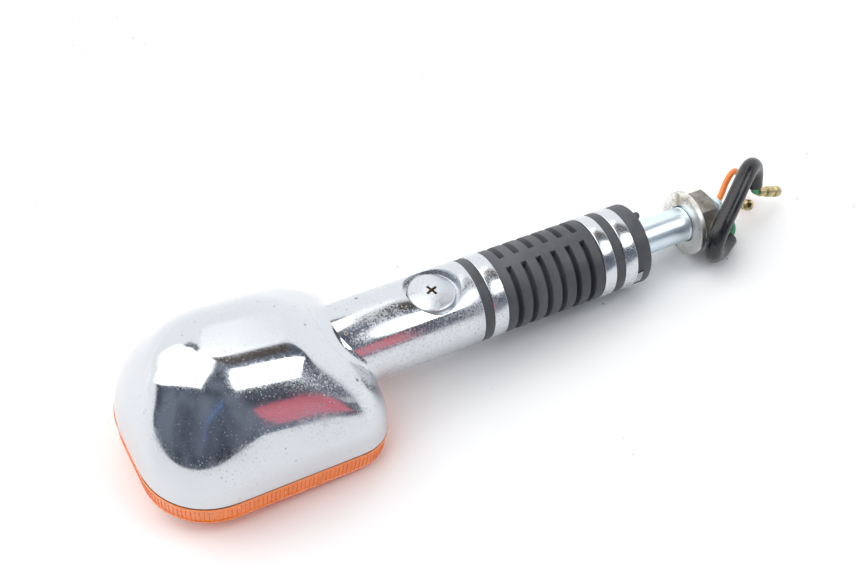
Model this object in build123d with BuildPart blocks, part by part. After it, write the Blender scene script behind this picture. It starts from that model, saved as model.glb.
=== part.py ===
"""Motorcycle turn signal: chrome square lamp on a rubber-damped stem with a hollow threaded mounting rod.

Frame: millimetres, +Z up, lens facing down.  The origin is on the stem axis where the end ring seats
against the bracket; +X runs inboard along the mounting rod and the lamp is on the -X side.
"""

import os
from math import atan, cos, pi, radians, sin, tan

from build123d import *

os.makedirs("parts", exist_ok=True)

# ---- driving dimensions -------------------------------------------------------------------------
axis_height = 23.4        # stem axis above the front face of the lens
stem_radius = 14.0        # chrome stem and bands
rubber_radius = 13.8      # rubber rings and flexible sleeve
end_ring_len = 5.5
band_3_len = 4.9
ring_2_len = 3.5
band_2_len = 4.4
sleeve_len = 36.8
band_1_len = 5.2
ring_1_len = 3.3

lamp_centre_x = -140.2    # middle of the lens, along the stem
half_length = 38.6        # lamp outline along the stem
half_width = 31.4         # lamp outline across the stem
inner_corner = 12.6       # plan corner radius on the stem side
outer_corner = 22.0       # plan corner radius at the free end
lens_depth = 9.4          # height of the amber rim
lens_wall = 2.4
gasket_thick = 0.7
crown_height = 45.2       # crown of the housing above the lens face
crown_bulge = 1.6
crown_slope = 0.14        # the crown falls towards the stem
shoulder_height = 17.2    # where the skirt turns into the dome
skirt_draft = 0.07
dome_inset = 15.6
corner_growth = 0.58      # corners get rounder as the outline draws in
wall = 1.8

rod_radius = 6.0          # M12 thread
shank_radius = 5.7        # plain part of the rod inside the steel insert
rod_bore = 3.9
rod_end_x = 37.0
barrel_radius = 10.0      # steel inserts inside the rings and bands
spigot_radius = 7.95      # lamp insert inside the stem
wire_way = 4.0            # radius of the wire hole through the inserts
insert_grip = 5.0         # length that the sleeve overlaps each insert
washer_x = 22.2
washer_radius = 11.25
washer_thick = 2.3
nut_flats = 17.0
nut_thick = 7.5

slot_pitch = 5.5
slot_width = 2.0
slot_depth = 3.0
first_slot_x = -50.5
rib_angle = 17.5          # solid ribs between the two rows of slots

screw_x = -76.9           # retaining screw on top of the stem
pocket_radius = 9.3
pocket_floor = 9.5
screw_head_radius = 7.9

bulb_radius = 12.5
base_radius = 7.5
socket_radius = 8.6
socket_open_x = -125.0
socket_back_x = -99.0
plunger_travel = 2.0
wire_radius = 1.1
sleeve_tube_radius = 3.1
bullet_radius = 1.95

# ---- stations along the stem, from the mount face outwards ---------------------------------------
band_3_x = -end_ring_len
ring_2_x = band_3_x - band_3_len
band_2_x = ring_2_x - ring_2_len
sleeve_x = band_2_x - band_2_len
band_1_x = sleeve_x - sleeve_len
ring_1_x = band_1_x - band_1_len
stem_end_x = ring_1_x - ring_1_len
pivot_x = sleeve_x - sleeve_len / 2
lens_z = -axis_height
rim_z = lens_z + lens_depth
seat_z = rim_z + gasket_thick
stem_side_x = lamp_centre_x + half_length
lens_screw_points = [(lamp_centre_x + 28.5, 21.5), (lamp_centre_x - 28.0, -17.5)]


def save(part, name):
    """Label a finished piece and write its STEP file."""
    part.label = name
    export_step(part, f"parts/{name}.step")
    print(f"{name:18s} volume {part.volume:9.1f}  solids {len(part.solids())}")


def axial(x):
    """Plane across the stem at station x, with local X along +Y and local Y along +Z."""
    return Plane(origin=(x, 0, 0), x_dir=(0, 1, 0), z_dir=(1, 0, 0))


def ring(x, length, outer, inner):
    """Ring about the stem axis that runs from x towards +X, with small rounded outer edges."""
    with BuildPart() as piece:
        with BuildSketch(axial(x)):
            Circle(outer)
            Circle(inner, mode=Mode.SUBTRACT)
        extrude(amount=length)
        fillet(piece.edges().filter_by(GeomType.CIRCLE).group_by(SortBy.RADIUS)[-1], 0.3)
    return piece.part


def lamp_outline(plane, inset, growth=0.0):
    """Plan outline of the lamp drawn in by inset, rounder at the free end than at the stem."""
    half_x = half_length - inset
    half_y = half_width - inset
    largest = half_y - 0.5
    with BuildSketch(plane) as outline:
        Rectangle(2 * half_x, 2 * half_y)
        fillet(outline.vertices().group_by(Axis.X)[0], min(outer_corner + growth, largest))
        fillet(outline.vertices().group_by(Axis.X)[-1], min(inner_corner + growth, largest))
    return outline.sketch


def lamp_plane(height, slope=0.0):
    """Plane over the middle of the lamp, at a height above the lens face and falling towards +X."""
    dip = atan(slope)
    across = (cos(dip), 0, -sin(dip))
    upward = (sin(dip), 0, cos(dip))
    return Plane(origin=(lamp_centre_x, 0, lens_z + height), x_dir=across, z_dir=upward)


def dome(base_height, skin):
    """Solid dome of the lamp above base_height, everywhere skin inside the outer surface."""
    rise = crown_height - shoulder_height
    with BuildPart() as body:
        add(lamp_outline(lamp_plane(base_height), skin))
        for turn in (0, 28, 50, 70, 90):
            height = rise * sin(radians(turn)) ** (4 / 3)
            inset = skirt_draft * (shoulder_height - lens_depth + height)
            inset += dome_inset * (1 - cos(radians(turn)) ** (4 / 3))
            level = shoulder_height + height * (1 - skin / rise)
            plane = lamp_plane(level, crown_slope * height / rise)
            add(lamp_outline(plane, inset + skin, corner_growth * (inset + skin)))
        add(lamp_outline(lamp_plane(crown_height + crown_bulge - skin, crown_slope), 25.5 + skin, 20))
        loft()
    return body.part


def wire_path(points):
    """Centre line of a loose wire: straight runs joined by arcs as large as the runs allow."""
    runs = [Vector(*b) - Vector(*a) for a, b in zip(points, points[1:])]
    radii = []
    for before, after in zip(runs, runs[1:]):
        half_turn = radians(before.get_angle(after)) / 2
        radii.append(0.45 * min(before.length, after.length) / tan(half_turn))
    with BuildLine() as line:
        FilletPolyline(*points, radius=radii)
    return line.wire(), radii


def cord(name, points, radius):
    """Plain tube along a wire's route."""
    path, radii = wire_path(points)
    with BuildPart() as tube:
        with BuildSketch(Plane(origin=path @ 0, z_dir=path % 0)):
            Circle(radius)
        sweep(path=path)
    save(tube.part, name)
    expected = pi * radius**2 * path.length
    print(f"  length {path.length:.1f}, volume ratio {tube.part.volume / expected:.4f}")
    print("  radii", [round(r, 1) for r in radii])
    return path


def lead(name, start_x, end_x, y):
    """Straight insulated wire inside the stem."""
    with BuildPart() as wire:
        with BuildSketch(axial(start_x)):
            with Locations((y, 0)):
                Circle(wire_radius)
        extrude(amount=end_x - start_x)
    save(wire.part, name)


# ---- housing: lamp shell and stem in one chrome casting ------------------------------------------
housing_base = lens_depth + gasket_thick
bore_step_x = -95.0
boss_start_z = seat_z + 1.8
boss_top_z = -2.0
with BuildPart() as housing:
    add(dome(housing_base, 0))
    with BuildSketch(axial(stem_end_x)):
        Circle(stem_radius)
    extrude(amount=stem_side_x - 12 - stem_end_x)
    add(dome(housing_base - 1, wall), mode=Mode.SUBTRACT)
    with BuildSketch(Plane.XY.offset(seat_z)):
        with Locations((lamp_centre_x, 0)):
            Rectangle(2 * half_length, 2 * half_width)
    extrude(amount=-2, mode=Mode.SUBTRACT)
    with BuildSketch(Plane.XY.offset(boss_start_z)):
        with Locations(*lens_screw_points):
            Circle(4.5)
    extrude(amount=boss_top_z - boss_start_z)
    with BuildSketch(Plane.XY.offset(boss_start_z)):
        with Locations(*lens_screw_points):
            Circle(2.0)
    extrude(amount=boss_top_z - boss_start_z - 1.5, mode=Mode.SUBTRACT)
    with BuildSketch(axial(stem_end_x)):
        Circle(spigot_radius + 0.05)
    extrude(amount=bore_step_x - stem_end_x, mode=Mode.SUBTRACT)
    with BuildSketch(axial(bore_step_x)):
        Circle(socket_radius + 0.8)
    extrude(amount=stem_side_x - 16 - bore_step_x, mode=Mode.SUBTRACT)
    with BuildSketch(Plane.XY.offset(pocket_floor)):
        with Locations((screw_x, 0)):
            Circle(pocket_radius)
    extrude(amount=stem_radius, mode=Mode.SUBTRACT)
    with BuildSketch(Plane.XY.offset(5)):
        with Locations((screw_x, 0)):
            Circle(2.7)
    extrude(amount=stem_radius, mode=Mode.SUBTRACT)
save(housing.part, "housing")

# ---- lens, gasket and lens screws ----------------------------------------------------------------
lip_top_z = seat_z + 1.5
lip_inset = wall + 0.45
lip_wall = 1.4
lip_growth = 2.2          # keeps the lip clear of the housing's inner corners
with BuildPart() as lens:
    add(lamp_outline(Plane(origin=(lamp_centre_x, 0, lens_z)), 0.8))
    add(lamp_outline(Plane(origin=(lamp_centre_x, 0, rim_z)), 0.0))
    loft()
    fillet(lens.faces().sort_by(Axis.Z)[0].edges(), 2.0)
    add(lamp_outline(Plane(origin=(lamp_centre_x, 0, rim_z)), lip_inset, lip_growth))
    extrude(amount=lip_top_z - rim_z)
    add(lamp_outline(Plane(origin=(lamp_centre_x, 0, lens_z + lens_wall)), lip_inset + lip_wall, lip_growth))
    extrude(amount=lip_top_z - lens_z, mode=Mode.SUBTRACT)
    with BuildSketch(Plane.XY.offset(lens_z + 0.5)):
        with Locations(*lens_screw_points):
            Circle(4.6)
    extrude(amount=lens_depth + 0.3)
    with BuildSketch(Plane.XY.offset(lens_z)):
        with Locations(*lens_screw_points):
            Circle(3.8)
    extrude(amount=4.0, mode=Mode.SUBTRACT)
    with BuildSketch(Plane.XY.offset(lens_z)):
        with Locations(*lens_screw_points):
            Circle(2.2)
    extrude(amount=lens_depth + 2, mode=Mode.SUBTRACT)
save(lens.part, "lens")

with BuildPart() as lens_gasket:
    add(lamp_outline(Plane(origin=(lamp_centre_x, 0, rim_z)), 0.25))
    extrude(amount=gasket_thick)
    add(lamp_outline(Plane(origin=(lamp_centre_x, 0, rim_z)), wall + 0.25))
    extrude(amount=gasket_thick, mode=Mode.SUBTRACT)
save(lens_gasket.part, "lens_gasket")

screw_head_z = lens_z + 1.6
with BuildPart() as lens_screws:
    with BuildSketch(Plane.XY.offset(screw_head_z)):
        with Locations(*lens_screw_points):
            Circle(3.6)
    extrude(amount=2.4)
    with BuildSketch(Plane.XY.offset(screw_head_z + 2.4)):
        with Locations(*lens_screw_points):
            Circle(1.95)
    extrude(amount=boss_top_z - 3.5 - screw_head_z - 2.4)
    with BuildSketch(Plane.XY.offset(screw_head_z)):
        with Locations(*lens_screw_points):
            Rectangle(4.0, 0.9)
            Rectangle(0.9, 4.0)
    extrude(amount=1.4, mode=Mode.SUBTRACT)
save(lens_screws.part, "lens_screws")

# ---- reflector bowl over the bulb ----------------------------------------------------------------
flange_z = lip_top_z + 0.1
sheet = 0.8


def bowl(grow, top_z):
    """Loft of the reflector bowl from its flange up to top_z."""
    with BuildPart() as shape:
        for height, half_x, half_y, corner in ((0, 26, 18.5, 15), (0.5, 25, 17.4, 14.5), (1, 20, 13.5, 11)):
            with BuildSketch(Plane(origin=(lamp_centre_x, 0, flange_z + height * (top_z - flange_z)))):
                RectangleRounded(2 * (half_x + grow), 2 * (half_y + grow), corner + grow)
        loft()
    return shape.part


with BuildPart() as reflector:
    add(lamp_outline(Plane(origin=(lamp_centre_x, 0, flange_z)), wall + 1.2, lip_growth))
    extrude(amount=sheet)
    with BuildSketch(Plane.XY.offset(flange_z)):
        with Locations(*lens_screw_points):
            Circle(5.3)
    extrude(amount=sheet, mode=Mode.SUBTRACT)
    add(bowl(sheet, 15.0))
    add(bowl(0, 15.0 - sheet), mode=Mode.SUBTRACT)
    with BuildSketch(axial(-120)):
        Circle(socket_radius + 0.3)
    extrude(amount=20, mode=Mode.SUBTRACT)
save(reflector.part, "reflector")

# ---- bulb socket, its rubber mount and the sprung contact ----------------------------------------
pin_x = -119.0
with BuildPart() as bulb_socket:
    with BuildSketch(axial(socket_open_x)):
        Circle(socket_radius)
    extrude(amount=socket_back_x - socket_open_x)
    with BuildSketch(axial(socket_open_x)):
        Circle(base_radius + 0.15)
    extrude(amount=socket_back_x - 1 - socket_open_x, mode=Mode.SUBTRACT)
    with BuildSketch(axial(socket_back_x)):
        Circle(1.6)
    extrude(amount=-2, mode=Mode.SUBTRACT)
    with BuildSketch(Plane.XZ.offset(-10)):
        with Locations(((socket_open_x + pin_x + 3) / 2, 0)):
            Rectangle(pin_x + 3 - socket_open_x, 2.4)
    extrude(amount=20, mode=Mode.SUBTRACT)
save(bulb_socket.part, "bulb_socket")
save(ring(-100.5, 5.0, socket_radius + 0.75, socket_radius + 0.02), "socket_grommet")

plunger_x = -109.8
with BuildPart() as contact_plunger:
    with BuildSketch(axial(plunger_x)):
        Circle(base_radius - 0.1)
    extrude(amount=2.0)
    with BuildSketch(axial(plunger_x)):
        Circle(2.2)
    extrude(amount=-1.0)
save(contact_plunger.part, "contact_plunger")

spring_back_x = socket_back_x - 1.0
spring_front_x = plunger_x + 2.0
spring_wire = 0.35
with BuildPart() as contact_spring:
    with BuildLine() as coil:
        Helix(
            pitch=(spring_back_x - spring_front_x - 2 * spring_wire) / 4,
            height=spring_back_x - spring_front_x - 2 * spring_wire,
            radius=4.2,
            center=(spring_front_x + spring_wire, 0, 0),
            direction=(1, 0, 0),
        )
    with BuildSketch(Plane(origin=coil.line @ 0, z_dir=coil.line % 0)):
        Circle(spring_wire)
    sweep(is_frenet=True)
save(contact_spring.part, "contact_spring")

# ---- bulb ----------------------------------------------------------------------------------------
base_back_x = -112.0
base_front_x = -128.0
globe_x = -143.0
neck_radius = 7.0
with BuildPart() as bulb_base:
    with BuildSketch(axial(base_front_x)):
        Circle(base_radius)
        Circle(base_radius - 0.4, mode=Mode.SUBTRACT)
    extrude(amount=base_back_x - base_front_x)
    with BuildSketch(axial(base_back_x)):
        Circle(base_radius)
    extrude(amount=-2.0)
    with BuildSketch(Plane.XZ.offset(-socket_radius + 0.2)):
        with Locations((pin_x, 0)):
            Circle(0.9)
    extrude(amount=2 * socket_radius - 0.4)
    with BuildSketch(axial(base_front_x)):
        Circle(base_radius - 0.4)
    extrude(amount=base_back_x - base_front_x - 2.0, mode=Mode.SUBTRACT)
    with BuildSketch(axial(base_back_x)):
        Circle(2.0)
    extrude(amount=1.2)
save(bulb_base.part, "bulb_base")

neck_end_x = base_front_x + 6.0
glass_thick = 0.8
with BuildPart() as bulb_glass:
    for skin, mode in ((0, Mode.ADD), (glass_thick, Mode.SUBTRACT)):
        with Locations((globe_x, 0, 0)):
            Sphere(bulb_radius - skin, mode=mode)
        with BuildSketch(axial(globe_x)):
            Circle(neck_radius - skin)
        extrude(amount=neck_end_x - skin - globe_x, mode=mode)
save(bulb_glass.part, "bulb_glass")

filament_x = globe_x + 1.0
with BuildPart() as bulb_filament:
    with BuildSketch(Plane.XZ.offset(-3)):
        with Locations((filament_x, 0)):
            Circle(0.5)
    extrude(amount=6)
    with BuildSketch(axial(filament_x)):
        with Locations((-2.9, 0), (2.9, 0)):
            Circle(0.3)
    extrude(amount=base_front_x + 3 - filament_x)
save(bulb_filament.part, "bulb_filament")

# ---- lamp side of the damper ---------------------------------------------------------------------
spigot_x = -92.0
with BuildPart() as stem_insert:
    with BuildSketch(axial(spigot_x)):
        Circle(spigot_radius)
    extrude(amount=stem_end_x - spigot_x)
    with BuildSketch(axial(stem_end_x)):
        Circle(barrel_radius)
    extrude(amount=band_1_x + insert_grip - stem_end_x)
    with BuildSketch(axial(spigot_x)):
        Circle(wire_way)
    extrude(amount=band_1_x + insert_grip - spigot_x, mode=Mode.SUBTRACT)
    with BuildSketch(Plane.XY.offset(wire_way - 0.5)):
        with Locations((screw_x, 0)):
            Circle(2.5)
    extrude(amount=spigot_radius, mode=Mode.SUBTRACT)
save(stem_insert.part, "stem_insert")

screw_head_thick = 1.9
with BuildPart() as retaining_screw:
    with BuildSketch(Plane.XY.offset(pocket_floor)):
        with Locations((screw_x, 0)):
            Circle(screw_head_radius)
    extrude(amount=screw_head_thick)
    fillet(retaining_screw.edges().sort_by(Axis.Z)[-1], 1.0)
    with BuildSketch(Plane.XY.offset(wire_way + 0.3)):
        with Locations((screw_x, 0)):
            Circle(2.45)
    extrude(amount=pocket_floor - wire_way - 0.3)
    with BuildSketch(Plane.XY.offset(pocket_floor + screw_head_thick)):
        with Locations((screw_x, 0)):
            Rectangle(6.0, 1.3)
            Rectangle(1.3, 6.0)
    extrude(amount=-1.5, mode=Mode.SUBTRACT)
save(retaining_screw.part, "retaining_screw")

save(ring(stem_end_x, ring_1_len, rubber_radius, barrel_radius), "rubber_ring_1")
save(ring(ring_1_x, band_1_len, stem_radius, barrel_radius), "chrome_band_1")

# ---- flexible sleeve with two rows of slots ------------------------------------------------------
slot_stations = [first_slot_x + i * slot_pitch for i in range(6)]
rib_half = rubber_radius * sin(radians(rib_angle / 2))
with BuildPart() as flex_sleeve:
    with BuildSketch(axial(band_1_x)):
        Circle(rubber_radius)
    extrude(amount=sleeve_len)
    with BuildSketch(axial(band_1_x)):
        Circle(barrel_radius)
    extrude(amount=insert_grip, mode=Mode.SUBTRACT)
    with BuildSketch(axial(sleeve_x)):
        Circle(barrel_radius)
    extrude(amount=-insert_grip, mode=Mode.SUBTRACT)
    with BuildSketch(axial(band_1_x)):
        Circle(wire_way + 1)
    extrude(amount=sleeve_len, mode=Mode.SUBTRACT)
    for station in slot_stations:
        with BuildSketch(axial(station - slot_width / 2)):
            Circle(rubber_radius + 1)
            Circle(rubber_radius - slot_depth, mode=Mode.SUBTRACT)
            Rectangle(2 * rib_half, 3 * rubber_radius, mode=Mode.SUBTRACT)
        extrude(amount=slot_width, mode=Mode.SUBTRACT)
save(flex_sleeve.part, "flex_sleeve")

# ---- mount side of the damper --------------------------------------------------------------------
key_angle = -96.0         # seen along the stem, from +Z towards +Y
key_width = 5.6
key_reach = 2.3
save(ring(sleeve_x, band_2_len, stem_radius, barrel_radius), "chrome_band_2")
save(ring(band_2_x, ring_2_len, rubber_radius, barrel_radius), "rubber_ring_2")


def key_block(width, reach, base, top):
    """Block of the band's key, from the band's edge towards +X at the key's angle."""
    with BuildPart() as block:
        with BuildSketch(axial(band_3_x - 0.5)):
            with Locations(Location((0, 0, 0), (0, 0, 90 - key_angle))):
                with Locations(((base + top) / 2, 0)):
                    Rectangle(top - base, width)
        extrude(amount=reach + 0.5)
    return block.part


with BuildPart() as chrome_band_3:
    add(ring(ring_2_x, band_3_len, stem_radius, barrel_radius))
    add(key_block(key_width, key_reach, barrel_radius + 0.5, stem_radius - 0.15))
save(chrome_band_3.part, "chrome_band_3")

pip_angle = 8.0
with BuildPart() as end_ring:
    with BuildSketch(axial(band_3_x)):
        Circle(rubber_radius)
        Circle(rod_radius + 0.05, mode=Mode.SUBTRACT)
    extrude(amount=end_ring_len)
    fillet(end_ring.edges().filter_by(GeomType.CIRCLE).group_by(SortBy.RADIUS)[-1], 0.5)
    add(key_block(key_width + 0.5, key_reach + 0.3, barrel_radius + 0.2, stem_radius + 1), mode=Mode.SUBTRACT)
    with BuildSketch(axial(0)):
        with Locations((11.2 * sin(radians(pip_angle)), 11.2 * cos(radians(pip_angle)))):
            Circle(1.3)
    extrude(amount=2.6)
save(end_ring.part, "end_ring")

with BuildPart() as rod_insert:
    with BuildSketch(axial(sleeve_x - insert_grip)):
        Circle(barrel_radius)
        Circle(shank_radius, mode=Mode.SUBTRACT)
    extrude(amount=band_3_x - sleeve_x + insert_grip)
save(rod_insert.part, "rod_insert")

with BuildPart() as mounting_rod:
    with BuildSketch(axial(sleeve_x - insert_grip)):
        Circle(shank_radius)
    extrude(amount=band_3_x - sleeve_x + insert_grip)
    with BuildSketch(axial(band_3_x)):
        Circle(rod_radius)
    extrude(amount=rod_end_x - band_3_x)
    chamfer(mounting_rod.edges().filter_by(GeomType.CIRCLE).sort_by(Axis.X)[-1], 0.6)
    with BuildSketch(axial(sleeve_x - insert_grip)):
        Circle(rod_bore)
    extrude(amount=rod_end_x - sleeve_x + insert_grip, mode=Mode.SUBTRACT)
save(mounting_rod.part, "mounting_rod")

save(ring(washer_x, washer_thick, washer_radius, rod_radius + 0.4), "washer")

with BuildPart() as nut:
    with BuildSketch(axial(washer_x + washer_thick + 0.05)):
        RegularPolygon(nut_flats / 2, 6, major_radius=False)
        Circle(rod_radius + 0.03, mode=Mode.SUBTRACT)
    extrude(amount=nut_thick)
save(nut.part, "nut")

# ---- wires ---------------------------------------------------------------------------------------
lead_y = 1.35
lead("lamp_live_lead", socket_back_x + 0.1, pivot_x - 0.6, lead_y)
lead("lamp_earth_lead", spigot_x - 2, pivot_x - 0.6, -lead_y)
lead("rod_live_lead", pivot_x + 0.6, rod_end_x - 1, lead_y)
lead("rod_earth_lead", pivot_x + 0.6, rod_end_x - 1, -lead_y)

sleeve_route = [
    (37.8, -8.3, -6.3),
    (31.0, -12.3, -6.7),
    (24.8, -15.2, -1.5),
    (25.6, -14.0, 6.5),
    (33.5, -8.8, 11.5),
    (40.5, -3.8, 15.8),
    (47.5, 1.2, 17.2),
    (52.3, 3.0, 12.2),
    (52.2, 1.2, 5.4),
]
orange_route = [
    (36.0, 1.35, 0.0),
    (39.5, 2.6, 2.4),
    (44.0, 6.5, 6.5),
    (49.5, 9.3, 7.2),
    (53.0, 8.8, 2.2),
    (56.0, 10.0, -2.5),
    (55.5, 8.3, -7.2),
    (51.0, 2.3, -4.5),
]
green_root_route = [
    (36.0, -1.35, 0.0),
    (40.0, -1.6, -1.0),
    (41.6, -4.6, -3.8),
    (40.2, -7.2, -5.7),
    (37.8, -8.3, -6.3),
]
green_tail_route = [(52.2, 1.2, 5.4), (52.2, 0.8, 2.6), (54.9, 0.7, 1.6)]
green_bullet_tip = (65.0, 0.2, -1.8)
orange_bullet_tip = (47.3, -4.0, 2.5)
cord("wire_sleeve", sleeve_route, sleeve_tube_radius)
cord("orange_wire", orange_route, wire_radius)
cord("green_root", green_root_route, wire_radius)


def bullet(name, root, tip):
    """Brass bullet terminal from its crimp at root to its hollow tip."""
    axis = Vector(*tip) - Vector(*root)
    with BuildPart() as terminal:
        with BuildSketch(Plane(origin=root, z_dir=axis)):
            Circle(bullet_radius - 0.3)
        extrude(amount=axis.length * 0.4)
        with BuildSketch(Plane(origin=Vector(*root) + axis * 0.4, z_dir=axis)):
            Circle(bullet_radius)
        extrude(amount=axis.length * 0.6)
        with BuildSketch(Plane(origin=tip, z_dir=axis)):
            Circle(1.0)
        extrude(amount=-4, mode=Mode.SUBTRACT)
    save(terminal.part, name)


cord("green_tail", green_tail_route, wire_radius)
bullet("bullet_green", green_tail_route[-1], green_bullet_tip)
bullet("bullet_orange", orange_route[-1], orange_bullet_tip)
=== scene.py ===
from math import atan, cos, pi, radians, sin

import bpy
from mathutils import Matrix, Vector


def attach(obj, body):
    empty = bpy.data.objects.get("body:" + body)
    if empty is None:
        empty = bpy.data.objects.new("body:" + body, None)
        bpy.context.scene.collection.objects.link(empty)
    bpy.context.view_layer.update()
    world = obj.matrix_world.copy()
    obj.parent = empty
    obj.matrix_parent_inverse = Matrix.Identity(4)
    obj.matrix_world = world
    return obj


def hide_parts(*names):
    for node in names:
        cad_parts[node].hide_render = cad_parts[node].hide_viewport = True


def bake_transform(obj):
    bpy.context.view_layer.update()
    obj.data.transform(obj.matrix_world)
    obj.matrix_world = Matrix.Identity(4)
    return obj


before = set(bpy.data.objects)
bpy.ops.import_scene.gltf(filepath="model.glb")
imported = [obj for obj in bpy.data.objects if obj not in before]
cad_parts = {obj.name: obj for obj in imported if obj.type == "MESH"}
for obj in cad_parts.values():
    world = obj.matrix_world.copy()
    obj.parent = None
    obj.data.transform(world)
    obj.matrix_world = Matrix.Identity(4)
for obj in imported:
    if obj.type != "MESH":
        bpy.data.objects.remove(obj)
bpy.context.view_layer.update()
mm = 0.001
print("frame loaded")

# camera: place, its three axes and its lens
cameraSet = {
    "place": (-0.24169, -0.25231, 0.35744),
    "right": (0.88004, -0.46880, 0.07590),
    "up": (0.31052, 0.68895, 0.65492),
    "forward": (0.35931, 0.55279, -0.75188),
    "lens": 61.116,
}
lensData = bpy.data.cameras.new("camera")
lensData.sensor_width = 36
lensData.lens = cameraSet["lens"]
lensData.clip_start = 0.01
lensData.clip_end = 20
cameraObject = bpy.data.objects.new("camera", lensData)
bpy.context.collection.objects.link(cameraObject)
turned = Matrix((cameraSet["right"], cameraSet["up"], -Vector(cameraSet["forward"]))).transposed().to_4x4()
cameraObject.matrix_world = Matrix.Translation(cameraSet["place"]) @ turned
bpy.context.scene.camera = cameraObject


# cords: one smooth line each, through the same points as their solids
def cordLine(name, points, diameter):
    line = bpy.data.curves.new(name, "CURVE")
    line.dimensions = "3D"
    spline = line.splines.new("NURBS")
    spline.points.add(len(points) - 1)
    for knot, (x, y, z) in zip(spline.points, points):
        knot.co = (x * mm, y * mm, z * mm, 1)
    spline.order_u = 3  # set after the points, or it stays at straight runs
    spline.use_endpoint_u = True
    spline.resolution_u = 16
    line.bevel_depth = diameter / 2 * mm
    line.bevel_resolution = 8
    line.use_fill_caps = True
    piece = bpy.data.objects.new(name, line)
    bpy.context.collection.objects.link(piece)
    return piece


wires = {
    "sleeve": 6.2,
    "wire": 2.2,
    "sleeveLength": 0.0646,
    "orangeLength": 0.0399,
}
sleeveTube = cordLine("sleeveTube", [
    (37.8, -8.3, -6.3), (31.0, -12.3, -6.7), (24.8, -15.2, -1.5), (25.6, -14.0, 6.5), (33.5, -8.8, 11.5),
    (40.5, -3.8, 15.8), (47.5, 1.2, 17.2), (52.3, 3.0, 12.2), (52.2, 1.2, 5.4),
], wires["sleeve"])
orangeCord = cordLine("orangeCord", [
    (36.0, 1.35, 0.0), (39.5, 2.6, 2.4), (44.0, 6.5, 6.5), (49.5, 9.3, 7.2), (53.0, 8.8, 2.2),
    (56.0, 10.0, -2.5), (55.5, 8.3, -7.2), (51.0, 2.3, -4.5),
], wires["wire"])
greenStart = cordLine("greenStart", [
    (36.0, -1.35, 0.0), (40.0, -1.6, -1.0), (41.6, -4.6, -3.8), (40.2, -7.2, -5.7), (37.8, -8.3, -6.3),
], wires["wire"])
greenEnd = cordLine("greenEnd", [(52.2, 1.2, 5.4), (52.2, 0.8, 2.6), (54.9, 0.7, 1.6)], wires["wire"])
print("camera and cords placed")


# tools for modelling, used by every piece
def calm():
    if bpy.context.object and bpy.context.object.mode != "OBJECT":
        bpy.ops.object.mode_set(mode="OBJECT")
    bpy.ops.object.select_all(action="DESELECT")


def only(piece, *others):
    calm()
    for one in (piece, *others):
        one.select_set(True)
    bpy.context.view_layer.objects.active = piece


def editing(piece):
    only(piece)
    bpy.ops.object.mode_set(mode="EDIT")
    bpy.ops.mesh.select_all(action="DESELECT")


def choose(piece, kind, test):
    # selects vertices, edges or faces whose middle (and normal, for a face) passes the test
    bpy.ops.mesh.select_mode(type={"v": "VERT", "e": "EDGE", "f": "FACE"}[kind])
    bpy.ops.mesh.select_all(action="DESELECT")
    bpy.ops.object.mode_set(mode="OBJECT")
    mesh = piece.data
    if kind == "v":
        for vertex in mesh.vertices:
            vertex.select = test(vertex.co / mm)
    if kind == "e":
        for edge in mesh.edges:
            a, b = (mesh.vertices[i].co / mm for i in edge.vertices)
            edge.select = test(a, b)
    if kind == "f":
        for face in mesh.polygons:
            face.select = test(face.center / mm, face.normal)
    bpy.ops.object.mode_set(mode="EDIT")


def tidyMesh(piece, gap=0.001):
    # doubles merged, faces turned outwards
    editing(piece)
    bpy.ops.mesh.select_all(action="SELECT")
    bpy.ops.mesh.remove_doubles(threshold=gap * mm)
    bpy.ops.mesh.normals_make_consistent(inside=False)
    calm()


def settle(piece):
    # place, turn and scale go into the mesh
    only(piece)
    bpy.ops.object.transform_apply(location=True, rotation=True, scale=True)
    calm()


def finishWith(piece, kind, **settings):
    only(piece)
    modifier = piece.modifiers.new(kind.lower(), kind)
    for name, value in settings.items():
        setattr(modifier, name, value)
    bpy.ops.object.modifier_apply(modifier=modifier.name)
    calm()


def smooth(piece, angle=35):
    only(piece)
    bpy.ops.object.shade_smooth_by_angle(angle=radians(angle))
    calm()


def roundEdges(piece, width, steps=2, angle=50):
    finishWith(piece, "BEVEL", width=width * mm, segments=steps, limit_method="ANGLE",
               angle_limit=radians(angle), harden_normals=False, use_clamp_overlap=True)


def carve(piece, cutter, how="DIFFERENCE"):
    finishWith(piece, "BOOLEAN", operation=how, object=cutter, solver="EXACT")
    only(cutter)
    bpy.ops.object.delete()


def joined(piece, *others):
    only(piece, *others)
    bpy.ops.object.join()
    calm()
    return piece


def cylinder(radius, depth, place, steps=48, turn=(0, 0, 0)):
    # plain cylinder to cut with or to build on, in mm
    calm()
    bpy.ops.mesh.primitive_cylinder_add(vertices=steps, radius=radius * mm, depth=depth * mm,
                                        location=Vector(place) * mm, rotation=turn)
    piece = bpy.context.object
    settle(piece)
    return piece


def copyOf(piece, name):
    only(piece)
    bpy.ops.object.duplicate()
    twin = bpy.context.object
    twin.name = name
    calm()
    return twin


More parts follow.
